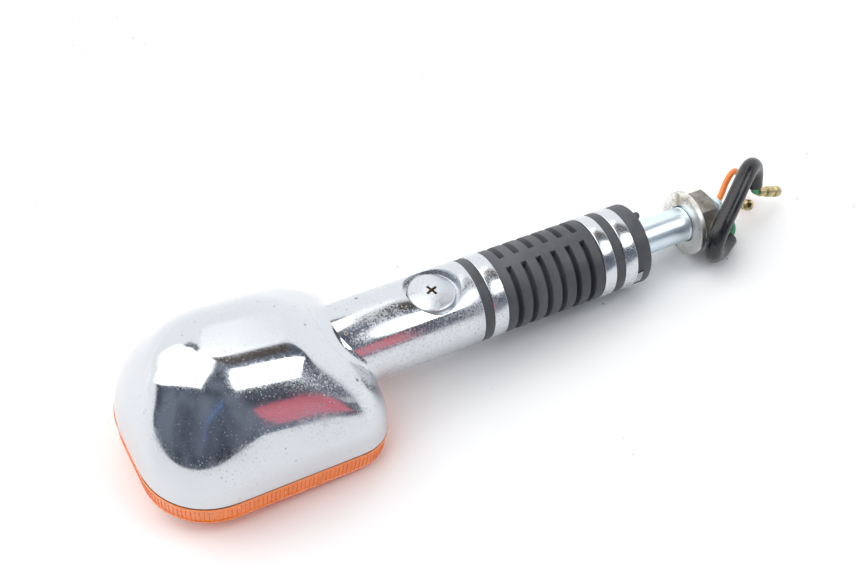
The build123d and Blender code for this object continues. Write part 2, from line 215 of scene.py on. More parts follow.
def lathe(name, outline, steps=96, axis="X", middle=(0, 0, 0)):
    # a line drawn by extruding one vertex along (station, radius) points in mm, then spun round
    along = Vector((1, 0, 0)) if axis == "X" else Vector((0, 0, 1))
    outward = Vector((0, 0, 1)) if axis == "X" else Vector((1, 0, 0))
    centre = Vector(middle) * mm
    knots = [centre + along * a * mm + outward * r * mm for a, r in outline]
    calm()
    bpy.ops.mesh.primitive_plane_add(size=mm)
    piece = bpy.context.object
    piece.name = name
    bpy.ops.object.mode_set(mode="EDIT")
    bpy.ops.mesh.select_mode(type="VERT")
    bpy.ops.mesh.select_all(action="SELECT")
    bpy.ops.mesh.merge(type="CENTER")
    bpy.ops.transform.translate(value=knots[0])
    for here, there in zip(knots, knots[1:]):
        bpy.ops.mesh.extrude_region_move(TRANSFORM_OT_translate={"value": there - here})
    bpy.ops.mesh.select_all(action="SELECT")
    bpy.ops.mesh.spin(steps=steps, angle=2 * pi, center=centre, axis=along)
    tidyMesh(piece)
    return piece


def ringPiece(name, start, length, outer, inner, edge=0.3, steps=144):
    # ring with rounded outer edges, from start towards +X
    end = start + length
    left = [(start + edge - a, outer - edge + b) for a, b in
            [(edge * sin(radians(t)), edge * cos(radians(t))) for t in (90, 60, 30, 0)]]
    right = [(end - edge + a, outer - edge + b) for a, b in
             [(edge * sin(radians(t)), edge * cos(radians(t))) for t in (0, 30, 60, 90)]]
    outline = [(start, inner)] + left + right + [(end, inner), (start, inner)]
    piece = lathe(name, outline, steps)
    smooth(piece, 40)
    return piece


# tools for materials
class Strand:
    # one socket; its operators add Math nodes
    def __init__(self, finish, socket):
        self.finish = finish
        self.socket = socket

    def __add__(self, other):
        return self.finish.maths("ADD", self, other)

    def __sub__(self, other):
        return self.finish.maths("SUBTRACT", self, other)

    def __mul__(self, other):
        return self.finish.maths("MULTIPLY", self, other)

    def __truediv__(self, other):
        return self.finish.maths("DIVIDE", self, other)

    def __pow__(self, other):
        return self.finish.maths("POWER", self, other)

    def __rsub__(self, other):
        return self.finish.maths("SUBTRACT", other, self)

    __radd__ = __add__
    __rmul__ = __mul__


class Tree:
    # a node tree and the few moves needed to fill it
    def __init__(self, tree, coordinates):
        self.tree = tree
        self.place = self.node("ShaderNodeTexCoord", output=coordinates)

    def node(self, kind, settings=None, values=None, output=0):
        made = self.tree.nodes.new(kind)
        for key, value in (settings or {}).items():
            if key == "stops":
                ramp = made.color_ramp
                while len(ramp.elements) < len(value):
                    ramp.elements.new(0.5)
                for stop, (at, color) in zip(ramp.elements, value):
                    stop.position = at
                    stop.color = (*color, 1) if isinstance(color, tuple) else (color, color, color, 1)
            else:
                setattr(made, key, value)
        for key, value in (values or {}).items():
            if isinstance(value, Strand):
                self.tree.links.new(value.socket, made.inputs[key])
            else:
                made.inputs[key].default_value = value
        return Strand(self, made.outputs[output])

    def maths(self, operation, a, b=0.0):
        return self.node("ShaderNodeMath", {"operation": operation}, {0: a, 1: b})

    def noise(self, scale, detail=2.0, roughness=0.5, place=None):
        return self.node("ShaderNodeTexNoise", None, {
            "Vector": place or self.place, "Scale": scale, "Detail": detail, "Roughness": roughness,
        }, "Fac")

    def cells(self, scale, place=None, output="Distance", randomness=1.0):
        return self.node("ShaderNodeTexVoronoi", None, {
            "Vector": place or self.place, "Scale": scale, "Randomness": randomness,
        }, output)

    def stretched(self, x, y, z):
        return self.node("ShaderNodeMapping", None, {"Vector": self.place, "Scale": (x, y, z)})

    def between(self, value, low, high, outLow=0.0, outHigh=1.0):
        return self.node("ShaderNodeMapRange", {"clamp": True}, {
            "Value": value, "From Min": low, "From Max": high, "To Min": outLow, "To Max": outHigh,
        })

    def blendColor(self, factor, first, second):
        def full(color):
            return color if isinstance(color, Strand) else (*color, 1)
        sockets = {0: factor, 6: full(first), 7: full(second)}
        return self.node("ShaderNodeMix", {"data_type": "RGBA"}, sockets, 2)

    def axisOf(self, which, place=None):
        return self.node("ShaderNodeSeparateXYZ", None, {0: place or self.place}, which)

    def along(self, direction):
        return self.node("ShaderNodeVectorMath", {"operation": "DOT_PRODUCT"},
                         {0: self.place, 1: tuple(direction)}, "Value")


class Finish(Tree):
    # a material that starts from fixed numbers; feed and bump add what varies over the surface
    def __init__(self, name, baseColor, roughness, metallic=0.0, **fixed):
        self.material = bpy.data.materials.new(name)
        self.material.use_nodes = True
        super().__init__(self.material.node_tree, "Object")
        self.shader = self.tree.nodes["Principled BSDF"]
        self.shader.inputs["Base Color"].default_value = (*baseColor, 1)
        self.shader.inputs["Roughness"].default_value = roughness
        self.shader.inputs["Metallic"].default_value = metallic
        for name, value in fixed.items():
            self.shader.inputs[name].default_value = value

    def feed(self, name, value):
        self.tree.links.new(value.socket, self.shader.inputs[name])

    def bump(self, height, strength, distance):
        self.feed("Normal", self.node("ShaderNodeBump", None, {
            "Height": height, "Strength": strength, "Distance": distance * mm,
        }, "Normal"))


def coat(piece, finish):
    piece.data.materials.clear()
    piece.data.materials.append(finish.material)


def coatNode(name, finish):
    # a solid that stays as it is and only gets its material
    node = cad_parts[name]
    for holder in node.material_slots:
        holder.material = finish.material


# finishes
# old plating: fine light specks where it has gone hazy, small pits and a few rust spots
chromeSet = {
    "clean": (0.64, 0.66, 0.685), "haze": (0.60, 0.63, 0.67), "rust": (0.20, 0.11, 0.05),
    "pit": (0.34, 0.34, 0.36), "stemFrom": (-0.118, -0.104),
}


def makeChrome(name, hazeAmount, rustAmount, polish=0.065):
    chrome = Finish(name, chromeSet["clean"], 0.04, 1.0)
    patches = chrome.noise(38, 4, 0.6)
    grains = chrome.noise(1500, 3, 0.7)
    haze = chrome.between(grains + patches * 0.9, 0.96 - 0.08 * hazeAmount, 1.34 - 0.08 * hazeAmount)
    stemSide = chrome.between(chrome.axisOf("X"), *chromeSet["stemFrom"])  # the stem is duller than the lamp
    speckSpread = chrome.between(chrome.noise(30, 3), 0.40, 0.60)
    specks = chrome.between(chrome.cells(800), 0.14, 0.26, 1.0, 0.0) * speckSpread
    dull = haze * 0.32 * hazeAmount + stemSide * (0.10 + haze * 0.2) + specks * 0.35
    pits = chrome.between(chrome.cells(420), 0.10, 0.20, 1.0, 0.0)
    pitSpread = chrome.between(chrome.noise(70, 3), 0.52, 0.62)
    spots = chrome.between(chrome.cells(95), 0.035, 0.075, 1.0, 0.0)
    spotSpread = chrome.between(chrome.noise(23, 2), 0.60 - 0.08 * rustAmount, 0.64)
    rust = spots * spotSpread
    color = chrome.blendColor(haze * 0.8, chromeSet["clean"], chromeSet["haze"])
    color = chrome.blendColor(pits * pitSpread * 0.65, color, chromeSet["pit"])
    chrome.feed("Base Color", chrome.blendColor(rust, color, chromeSet["rust"]))
    chrome.feed("Roughness", chrome.between(dull + pits * pitSpread * 0.3 + rust, 0, 1, polish, 0.75))
    chrome.feed("Metallic", 1 - rust * 0.85)
    chrome.bump(grains * 0.08 - pits * pitSpread, 0.2, 0.03)
    return chrome


lampChrome = makeChrome("lampChrome", 1.0, 1.0)
bandChrome = makeChrome("bandChrome", 0.45, 0.2, 0.14)
screwChrome = makeChrome("screwChrome", 1.1, 1.9, 0.20)
crossDirt = {  # brown dirt down in the screw's cross
    "x": -76.9, "reach": 3.3, "below": 11.95, "color": (0.13, 0.08, 0.04),
}
besideAxis = (screwChrome.axisOf("X") / mm - crossDirt["x"]) ** 2.0 + (screwChrome.axisOf("Y") / mm) ** 2.0
ragged = screwChrome.noise(900, 3) * 0.5
besideAxis = besideAxis ** 0.5 + ragged
inCross = screwChrome.between(besideAxis, crossDirt["reach"], crossDirt["reach"] + 0.5, 1.0, 0.0)
depth = screwChrome.axisOf("Z") / mm - ragged * 0.5
inCross = inCross * screwChrome.between(depth, crossDirt["below"] - 0.3, crossDirt["below"], 1.0, 0.0)
platedColor = Strand(screwChrome, screwChrome.shader.inputs["Base Color"].links[0].from_socket)
screwChrome.feed("Base Color", screwChrome.blendColor(inCross, platedColor, crossDirt["color"]))
platedMetal = Strand(screwChrome, screwChrome.shader.inputs["Metallic"].links[0].from_socket)
screwChrome.feed("Metallic", platedMetal * (1 - inCross))

# painted glow: the lens is given a faint orange emission that brightens it, though no lamp is lit inside
amber = Finish("amberLens", (1.0, 0.26, 0.03), 0.16, 0.0, **{
    "Transmission Weight": 0.12, "IOR": 1.49, "Coat Weight": 0.3, "Coat Roughness": 0.08,
    "Emission Color": (1.0, 0.20, 0.03, 1), "Emission Strength": 0.07,
})
amberDirt = amber.between(amber.noise(120, 5, 0.65), 0.52, 0.72)
amber.feed("Base Color", amber.blendColor(amberDirt * 0.35, (1.0, 0.27, 0.035), (0.80, 0.20, 0.03)))
amber.feed("Roughness", amber.between(amber.noise(260, 3), 0.35, 0.7, 0.14, 0.30))
gridX = amber.node("ShaderNodeMath", {"operation": "SINE"}, {0: amber.axisOf("X") * 2200})
gridY = amber.node("ShaderNodeMath", {"operation": "SINE"}, {0: amber.axisOf("Y") * 2200})
facing = amber.node("ShaderNodeNewGeometry", output="Normal")
faceDown = amber.between(amber.axisOf("Z", facing), -0.9, -0.98)
amber.bump((gridX * gridY) * faceDown, 0.6, 0.25)

rubber = Finish("dampingRubber", (0.045, 0.046, 0.05), 0.62, 0.0, **{"Specular IOR Level": 0.45})
rubberDust = rubber.between(rubber.noise(55, 5, 0.6), 0.42, 0.75)
rubberGrain = rubber.noise(2600, 3, 0.6)
rubber.feed("Base Color", rubber.blendColor(rubberDust, (0.060, 0.063, 0.070), (0.120, 0.124, 0.135)))
rubber.feed("Roughness", rubber.between(rubberDust, 0, 1, 0.50, 0.72))
rubber.bump(rubberGrain + rubber.noise(300, 2) * 0.6, 0.35, 0.05)

zinc = Finish("bluedZinc", (0.72, 0.82, 0.88), 0.2, 1.0)
zincTint = zinc.noise(34, 2, 0.5, zinc.stretched(0.35, 1, 1))
zincScratch = zinc.noise(420, 3, 0.6, zinc.stretched(0.12, 1, 1))
zinc.feed("Base Color", zinc.node("ShaderNodeValToRGB", {
    "stops": [(0.30, (0.64, 0.82, 0.92)), (0.50, (0.80, 0.89, 0.94)), (0.72, (0.70, 0.80, 0.89))],
}, {0: zincTint}))
zinc.feed("Roughness", zinc.between(zincScratch, 0.3, 0.7, 0.28, 0.42))
zinc.bump(zincScratch, 0.15, 0.03)

washerSteel = Finish("washerSteel", (0.86, 0.85, 0.82), 0.22, 1.0)
washerGrime = washerSteel.between(washerSteel.noise(150, 5, 0.7), 0.52, 0.66)
washerSteel.feed("Base Color", washerSteel.blendColor(washerGrime, (0.80, 0.79, 0.76), (0.44, 0.40, 0.33)))
washerSteel.feed("Roughness", washerSteel.between(washerGrime, 0, 1, 0.44, 0.65))
washerSteel.bump(washerSteel.noise(700, 4), 0.25, 0.05)

nutSteel = Finish("nutSteel", (0.42, 0.40, 0.37), 0.5, 1.0)
nutGrime = nutSteel.between(nutSteel.noise(210, 5, 0.7), 0.38, 0.68)
nutSteel.feed("Base Color", nutSteel.blendColor(nutGrime, (0.34, 0.32, 0.29), (0.14, 0.12, 0.095)))
nutSteel.feed("Roughness", nutSteel.between(nutGrime, 0, 1, 0.38, 0.75))
nutSteel.feed("Metallic", nutSteel.between(nutGrime, 0, 1, 0.9, 0.45))
nutSteel.bump(nutSteel.noise(900, 5, 0.7), 0.5, 0.08)

brass = Finish("terminalBrass", (0.72, 0.56, 0.27), 0.3, 1.0)
brassTarnish = brass.between(brass.noise(480, 4, 0.65), 0.45, 0.70)
brass.feed("Base Color", brass.blendColor(brassTarnish, (0.60, 0.50, 0.27), (0.28, 0.22, 0.12)))
brass.feed("Roughness", brass.between(brassTarnish, 0, 1, 0.34, 0.55))


def makeVinyl(name, clean, worn, roughness):
    vinyl = Finish(name, clean, roughness)
    wear = vinyl.between(vinyl.noise(240, 4, 0.6), 0.45, 0.75)
    vinyl.feed("Base Color", vinyl.blendColor(wear, clean, worn))
    vinyl.feed("Roughness", vinyl.between(wear, 0, 1, roughness - 0.06, roughness + 0.14))
    vinyl.bump(vinyl.noise(900, 3), 0.2, 0.04)
    return vinyl


sleeveVinyl = makeVinyl("sleeveVinyl", (0.010, 0.010, 0.012), (0.028, 0.029, 0.034), 0.30)
orangeVinyl = makeVinyl("orangeVinyl", (0.95, 0.24, 0.04), (0.80, 0.22, 0.06), 0.42)
greenVinyl = makeVinyl("greenVinyl", (0.03, 0.30, 0.12), (0.05, 0.20, 0.10), 0.42)


def makeMetal(name, light, dark, low, high):
    metal = Finish(name, light, low, 1.0)
    brushed = metal.noise(600, 3, 0.6, metal.stretched(0.2, 1, 1))
    metal.feed("Base Color", metal.blendColor(metal.between(metal.noise(90, 3), 0.4, 0.7), light, dark))
    metal.feed("Roughness", metal.between(brushed, 0.3, 0.7, low, high))
    metal.bump(brushed, 0.15, 0.03)
    return metal


socketSteel = makeMetal("socketSteel", (0.70, 0.70, 0.70), (0.52, 0.52, 0.50), 0.22, 0.42)
castZinc = makeMetal("castZinc", (0.56, 0.57, 0.58), (0.40, 0.41, 0.43), 0.40, 0.62)
reflectorBright = makeMetal("reflectorBright", (0.90, 0.90, 0.91), (0.80, 0.80, 0.82), 0.08, 0.20)
filamentWire = makeMetal("filamentWire", (0.34, 0.34, 0.35), (0.20, 0.20, 0.21), 0.35, 0.55)
bulbBrass = makeMetal("bulbBrass", (0.78, 0.66, 0.42), (0.60, 0.48, 0.28), 0.22, 0.40)

phenolic = makeVinyl("contactPhenolic", (0.16, 0.07, 0.03), (0.10, 0.05, 0.03), 0.5)
bulbClear = Finish("bulbClear", (0.98, 0.98, 0.98), 0.02, 0.0, **{"Transmission Weight": 1.0, "IOR": 1.47})
bulbClear.feed("Roughness", bulbClear.between(bulbClear.noise(90, 3), 0.4, 0.8, 0.01, 0.08))
print("finishes ready")

# lamp shell and stem
shell = {
    "middleX": -140.2, "halfLength": 38.6, "halfWidth": 31.4, "lensZ": -23.4,
    "stemCorner": 12.6, "freeCorner": 22.0, "cornerGrowth": 0.58,
    "edge": 10.1, "shoulder": 17.2, "rise": 29.4, "drawIn": 22.0, "draft": 0.07,
    "fullness": 1.15, "slope": 0.14, "wall": 1.8,
    "turns": (12, 24, 35, 45, 55, 64, 73, 82, 90),
}


def outlineRing(name, height, inset, growth=0.0, slope=0.0, cuts=(5, 5, 5), corners=(6, 6), keepFace=False):
    # rounded outline of the lamp at a height above the lens face: a plane with its corners bevelled
    halfX = shell["halfLength"] - inset
    halfY = shell["halfWidth"] - inset
    largest = halfY - 0.5
    calm()
    bpy.ops.mesh.primitive_plane_add(size=2 * mm)
    ring = bpy.context.object
    ring.name = name
    bpy.ops.object.mode_set(mode="EDIT")
    bpy.ops.transform.resize(value=(halfX, halfY, 1))
    choose(ring, "v", lambda p: p.x < 0)
    freeCorner = min(shell["freeCorner"] + growth, largest)
    bpy.ops.mesh.bevel(offset=freeCorner * mm, segments=corners[0], affect="VERTICES")
    choose(ring, "v", lambda p: p.x > halfX - 0.001)
    stemCorner = min(shell["stemCorner"] + growth, largest)
    bpy.ops.mesh.bevel(offset=stemCorner * mm, segments=corners[1], affect="VERTICES")
    bpy.ops.mesh.select_all(action="SELECT")
    bpy.ops.mesh.delete(type="ONLY_FACE")
    choose(ring, "e", lambda a, b: abs(abs(a.y) - halfY) < 0.001 and abs(a.y - b.y) < 0.0001)
    bpy.ops.mesh.subdivide(number_cuts=cuts[0])
    choose(ring, "e", lambda a, b: a.x < 0 and abs(abs(a.x) - halfX) < 0.001 and abs(a.x - b.x) < 0.0001)
    bpy.ops.mesh.subdivide(number_cuts=cuts[1])
    choose(ring, "e", lambda a, b: a.x > 0 and abs(abs(a.x) - halfX) < 0.001 and abs(a.x - b.x) < 0.0001)
    bpy.ops.mesh.subdivide(number_cuts=cuts[2])
    if keepFace:
        bpy.ops.mesh.select_all(action="SELECT")
        bpy.ops.mesh.edge_face_add()
    bpy.ops.object.mode_set(mode="OBJECT")
    ring.rotation_euler = (0, atan(slope), 0)
    ring.location = (shell["middleX"] * mm, 0, (shell["lensZ"] + height) * mm)
    settle(ring)
    return ring


def domeLevels():
    yield shell["edge"], 0.0, 0.0, 0.0
    yield shell["shoulder"] - 2.5, shell["draft"] * 5.3, 0.4, 0.0
    for turn in (0, *shell["turns"]):
        up = sin(radians(turn)) ** shell["fullness"]
        height = shell["rise"] * up
        inset = shell["draft"] * (shell["shoulder"] - 9.4 + height)
        inset += shell["drawIn"] * (1 - cos(radians(turn)) ** shell["fullness"])
        yield shell["shoulder"] + height, inset, shell["cornerGrowth"] * inset, shell["slope"] * height / 28


rings = [outlineRing(f"level{i}", *level) for i, level in enumerate(domeLevels())]
dome = joined(*rings)
dome.name = "lampShell"
editing(dome)
bpy.ops.mesh.select_all(action="SELECT")
bpy.ops.mesh.bridge_edge_loops()
crownFall = shell["slope"] * shell["rise"] / 28
domeTop = shell["lensZ"] + shell["shoulder"] + shell["rise"]
choose(dome, "v", lambda p: abs(p.z - domeTop + (p.x - shell["middleX"]) * crownFall) < 0.1)
bpy.ops.mesh.fill_grid(span=12)
tidyMesh(dome)
finishWith(dome, "SUBSURF", levels=2, render_levels=2)
print("dome bridged", len(dome.data.vertices))

guide = copyOf(dome, "guide")  # the dome with its skirt carried down, for fitting the stem
editing(guide)
edgeZ = shell["lensZ"] + shell["edge"]
choose(guide, "e", lambda a, b: a.z < edgeZ + 0.2 and b.z < edgeZ + 0.2 and abs(a.z - b.z) < 0.01)
bpy.ops.mesh.extrude_region_move(TRANSFORM_OT_translate={"value": (0, 0, -9 * mm)})
calm()

inner = copyOf(guide, "inner")  # the space inside the wall
editing(inner)
bpy.ops.mesh.select_all(action="SELECT")
bpy.ops.transform.shrink_fatten(value=-shell["wall"] * mm)
choose(inner, "e", lambda a, b: a.z < edgeZ - 8.8 and b.z < edgeZ - 8.8)
bpy.ops.mesh.edge_face_add()
tidyMesh(inner)
finishWith(dome, "SOLIDIFY", thickness=shell["wall"] * mm, offset=-1)
roundEdges(dome, 0.35, 2, 60)

stem = {"radius": 14.0, "bore": 8.0, "start": -63.6, "insideX": -114.0, "fillet": 2.3, "filletSteps": 7}
tube = lathe("stemTube", [
    (stem["insideX"], stem["bore"]), (stem["insideX"], stem["radius"]),
    (stem["start"] - 0.5, stem["radius"]),
    (stem["start"] - 0.15, stem["radius"] - 0.15), (stem["start"], stem["radius"] - 0.5),
    (stem["start"], stem["bore"]), (stem["insideX"], stem["bore"]),
], 160)
carve(tube, inner)

# fillet round the stem: rings thrown onto the dome along the stem, then eased off it
filletRings = []
for step in range(stem["filletSteps"] + 2):
    turn = radians(90 * min(step, stem["filletSteps"]) / stem["filletSteps"])
    last = step == stem["filletSteps"] + 1
    radius = stem["radius"] - 0.4 if last else stem["radius"] + stem["fillet"] * (1 - cos(turn)) - 0.01
    calm()
    bpy.ops.mesh.primitive_circle_add(vertices=160, radius=radius * mm, location=(-60 * mm, 0, 0),
                                      rotation=(0, pi / 2, 0))
    ring = bpy.context.object
    settle(ring)
    finishWith(ring, "SHRINKWRAP", target=guide, wrap_method="PROJECT", use_project_x=True,
               use_negative_direction=True, use_positive_direction=False)
    ease = -1.2 if last else stem["fillet"] * (1 - sin(turn)) + 0.02
    only(ring)
    bpy.ops.transform.translate(value=(ease * mm, 0, 0))
    filletRings.append(ring)
fillet = joined(*filletRings)
editing(fillet)
bpy.ops.mesh.select_all(action="SELECT")
bpy.ops.mesh.bridge_edge_loops(type="CLOSED")
bpy.ops.mesh.select_all(action="SELECT")
bpy.ops.mesh.bisect(plane_co=(0, 0, (edgeZ + 0.02) * mm), plane_no=(0, 0, 1),
                    clear_inner=True, use_fill=True)
tidyMesh(fillet)
calm()
only(guide)
bpy.ops.object.delete()

# pocket for the retaining screw, cut into the top of the stem
pocket = {"x": -76.9, "radius": 9.3, "floor": 9.5, "cut": 10.0}
pocketMiddle = (pocket["x"], 0, pocket["floor"] + pocket["cut"] / 2)
carve(tube, cylinder(pocket["radius"], pocket["cut"], pocketMiddle, 96))
roundEdges(tube, 0.45, 3, 50)

# way through the wall for the bulb socket
way = {"x": -108, "radius": 9.5, "length": 30}
carve(dome, cylinder(way["radius"], way["length"], (way["x"], 0, 0), 64, (0, pi / 2, 0)))
lampShell = joined(dome, tube, fillet)
smooth(lampShell, 40)
coat(lampShell, lampChrome)
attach(lampShell, "lamp")
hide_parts("housing")
print("lamp shell", len(lampShell.data.polygons))

# amber lens
lensSet = {
    "rimZ": -14.0, "band": 1.1, "flutes": 6.05, "round": 2.1, "fluteDepth": 0.28, "fluteLand": 0.16,
    "step": 0.15, "wall": 2.2,
    "posts": [(-111.7, 21.5), (-168.2, -17.5)], "postRadius": 4.7, "postDepth": 9.0, "postZ": -18.6,
    "wellRadius": 3.8, "wellDepth": 8, "wellZ": -23.4,
}
fineCuts = {"cuts": (29, 12, 25), "corners": (24, 14)}
lens = outlineRing("amberLens", 9.4, 0.05, keepFace=True, **fineCuts)
editing(lens)
choose(lens, "f", lambda p, n: True)


def lensStep(drop, drawIn):
    # one more step of the lens side: extruded down and drawn in by the same amount all round
    bpy.ops.mesh.extrude_region_move(TRANSFORM_OT_translate={"value": (0, 0, -drop * mm)})
    half = Vector((shell["halfLength"], shell["halfWidth"]))
    bpy.ops.transform.resize(value=((half.x - drawIn) / half.x, (half.y - drawIn) / half.y, 1),
                             center_override=(shell["middleX"] * mm, 0, 0))


lensStep(lensSet["band"], 0.05)
lensStep(lensSet["step"], 0.18)
lensStep(lensSet["flutes"], 0.4)
for turn in (22.5, 45, 67.5, 90):
    before = radians(turn - 22.5)
    now = radians(turn)
    lensStep((sin(now) - sin(before)) * lensSet["round"], (cos(before) - cos(now)) * lensSet["round"])
calm()
fluteTop = lensSet["rimZ"] - lensSet["band"] - lensSet["step"]
editing(lens)
choose(lens, "f", lambda p, n: abs(n.z) < 0.3 and fluteTop - lensSet["flutes"] < p.z < fluteTop)
bpy.ops.mesh.inset(use_individual=True, thickness=lensSet["fluteLand"] * mm,
                   depth=-lensSet["fluteDepth"] * mm)
choose(lens, "f", lambda p, n: n.z > 0.9 and p.z > lensSet["rimZ"] - 0.01)
bpy.ops.mesh.delete(type="FACE")
tidyMesh(lens)
finishWith(lens, "SOLIDIFY", thickness=lensSet["wall"] * mm, offset=-1)
editing(lens)
choose(lens, "v", lambda p: p.z > lensSet["rimZ"] - 0.3)
bpy.ops.transform.resize(value=(1, 1, 0), center_override=(0, 0, lensSet["rimZ"] * mm))  # level rim
for x, y in lensSet["posts"]:  # a hollow post for each screw
    carve(lens, cylinder(lensSet["postRadius"], lensSet["postDepth"], (x, y, lensSet["postZ"])), "UNION")
    carve(lens, cylinder(lensSet["wellRadius"], lensSet["wellDepth"], (x, y, lensSet["wellZ"])))
smooth(lens, 30)
coat(lens, amber)
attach(lens, "lamp")
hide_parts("lens")
print("lens", len(lens.data.polygons))

# screws
def crossRecess(piece, middle, reach, width, depth):
    # cross cut into a head that faces up (depth > 0) or down (depth < 0)
    for turn in (0, pi / 2):
        calm()
        bpy.ops.mesh.primitive_cube_add(size=mm, location=Vector(middle) * mm,
                                        rotation=(0, 0, turn + radians(20)))
        arm = bpy.context.object
        bpy.ops.object.mode_set(mode="EDIT")
        bpy.ops.transform.resize(value=(2 * reach, width, 2 * abs(depth)), orient_type="LOCAL")
        calm()
        settle(arm)
        editing(arm)
        away = 1 if depth > 0 else -1
        choose(arm, "f", lambda p, n: n.z * away < -0.9)
        bpy.ops.transform.resize(value=(0.55, 0.55, 1), center_override=Vector(middle) * mm)
        calm()
        carve(piece, arm)


head = {
    "x": -76.9, "radius": 7.9, "floor": 9.5, "side": 1.55, "crown": 2.75, "shank": 2.45, "shankEnd": 4.3,
    "crossReach": 2.9, "crossWidth": 1.25, "crossDepth": 1.6,
}
sideTop = head["floor"] + head["side"]
crown = [(sideTop + (head["crown"] - head["side"]) * (1 - (r / head["radius"]) ** 2.2), r)
         for r in (7.55, 7.0, 6.0, 4.8, 3.4, 1.8)]
retainingScrew = lathe("retainingScrew", [
    (head["shankEnd"], 0.0), (head["shankEnd"], head["shank"]), (head["floor"], head["shank"]),
    (head["floor"], head["radius"]), (sideTop - 0.5, head["radius"]), (sideTop - 0.12, head["radius"] - 0.12),
    *crown, (head["floor"] + head["crown"], 0.0),
], 96, "Z", (head["x"], 0, 0))
crossRecess(retainingScrew, (head["x"], 0, head["floor"] + head["crown"] + 0.2),
            head["crossReach"], head["crossWidth"], head["crossDepth"])
roundEdges(retainingScrew, 0.12, 1, 50)
smooth(retainingScrew, 35)
coat(retainingScrew, screwChrome)
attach(retainingScrew, "lamp")
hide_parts("retaining_screw")

lensScrews = []
for x, y in lensSet["posts"]:
    one = lathe("lensScrew", [
        (-21.9, 0.0), (-21.9, 2.6), (-21.5, 3.3), (-20.9, 3.6), (-19.4, 3.6), (-19.4, 1.95),
        (-6.4, 1.95), (-5.5, 1.2), (-5.5, 0.0),
    ], 48, "Z", (x, y, 0))
    crossRecess(one, (x, y, -21.9), 1.9, 0.9, -1.4)
    lensScrews.append(one)
lensScrew = joined(*lensScrews)
lensScrew.name = "lensScrews"
smooth(lensScrew, 35)
coat(lensScrew, socketSteel)
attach(lensScrew, "lamp")
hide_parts("lens_screws")
print("screws")

# rings and bands
bands = {"chrome": 14.0, "rubber": 13.8, "barrel": 10.0}
ringOne = ringPiece("rubberRingOne", -63.6, 3.3, bands["rubber"], bands["barrel"], 0.35)
bandOne = ringPiece("chromeBandOne", -60.3, 5.2, bands["chrome"], bands["barrel"], 0.3)
bandTwo = ringPiece("chromeBandTwo", -18.3, 4.4, bands["chrome"], bands["barrel"], 0.3)
ringTwo = ringPiece("rubberRingTwo", -13.9, 3.5, bands["rubber"], bands["barrel"], 0.35)
bandThree = ringPiece("chromeBandThree", -10.4, 4.9, bands["chrome"], bands["barrel"], 0.3)
for piece, finish, body, node in (
    (ringOne, rubber, "lamp", "rubber_ring_1"), (bandOne, bandChrome, "lamp", "chrome_band_1"),
    (bandTwo, bandChrome, "mount_side", "chrome_band_2"), (ringTwo, rubber, "mount_side", "rubber_ring_2"),
    (bandThree, bandChrome, "mount_side", "chrome_band_3"),
):
    coat(piece, finish)
    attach(piece, body)
    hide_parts(node)


def aroundStem(p):
    # angle round the stem axis from +Z towards +Y, in degrees
    return Vector((p.z, p.y)).angle_signed(Vector((1, 0)), 0) * 180 / pi


# key: part of the band's inboard edge pulled out into the end ring's notch
key = {"from": -108, "to": -84, "reach": 2.3}
editing(bandThree)
choose(bandThree, "f", lambda p, n: n.x > 0.9 and (p.y ** 2 + p.z ** 2) ** 0.5 > 11.5
       and key["from"] < aroundStem(p) < key["to"])
bpy.ops.mesh.extrude_region_move(TRANSFORM_OT_translate={"value": (key["reach"] * mm, 0, 0)})
calm()

endRing = ringPiece("endRing", -5.5, 5.5, bands["rubber"], 6.05, 0.5)
notchSet = {"middle": (-4.9, -12.6, -1.3), "size": (3.9, 5.0, 6.4), "turn": 6}
bpy.ops.mesh.primitive_cube_add(size=mm, location=Vector(notchSet["middle"]) * mm,
                                rotation=(radians(notchSet["turn"]), 0, 0))
notch = bpy.context.object
bpy.ops.object.mode_set(mode="EDIT")
bpy.ops.transform.resize(value=notchSet["size"], orient_type="LOCAL")
calm()
settle(notch)
carve(endRing, notch)
pip = lathe("pip", [(-0.5, 0.0), (-0.5, 1.3), (2.1, 1.25), (2.45, 1.0), (2.6, 0.6), (2.6, 0.0)],
            32, "X", (0, 1.56, 11.09))
joined(endRing, pip)
smooth(endRing, 35)
coat(endRing, rubber)
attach(endRing, "mount_side")
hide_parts("end_ring")
print("rings and bands")

# flexible sleeve with two rows of slots
flex = {"start": -55.1, "length": 36.8, "radius": 13.8, "inner": 5.0, "barrel": 10.0, "grip": 5.0,
        "firstSlot": -50.5, "pitch": 5.5, "width": 2.0, "depth": 3.0, "rib": 8.75, "edge": 0.4}
flexEnd = flex["start"] + flex["length"]
slotMiddles = [flex["firstSlot"] + i * flex["pitch"] for i in range(6)]
slotEdges = [x + side * flex["width"] / 2 for x in slotMiddles for side in (-1, 1)]
sleeve = lathe("flexSleeve", [
    (flex["start"], flex["barrel"]), (flex["start"], flex["radius"] - flex["edge"]),
    (flex["start"] + flex["edge"], flex["radius"]),
    *[(x, flex["radius"]) for x in slotEdges],
    (flexEnd - flex["edge"], flex["radius"]), (flexEnd, flex["radius"] - flex["edge"]),
    (flexEnd, flex["barrel"]), (flexEnd - flex["grip"], flex["barrel"]),
    (flexEnd - flex["grip"], flex["inner"]),
    (flex["start"] + flex["grip"], flex["inner"]), (flex["start"] + flex["grip"], flex["barrel"]),
    (flex["start"], flex["barrel"]),
], 144)
editing(sleeve)


def inSlot(p, n):
    station = (p.x - flex["firstSlot"]) / flex["pitch"]
    onSlot = abs(station - round(station)) * flex["pitch"] < flex["width"] / 2 and -0.4 < station < 5.4
    turn = abs(aroundStem(p))
    outside = (p.y ** 2 + p.z ** 2) ** 0.5 > flex["radius"] - 0.5
    return onSlot and outside and flex["rib"] < turn < 180 - flex["rib"]


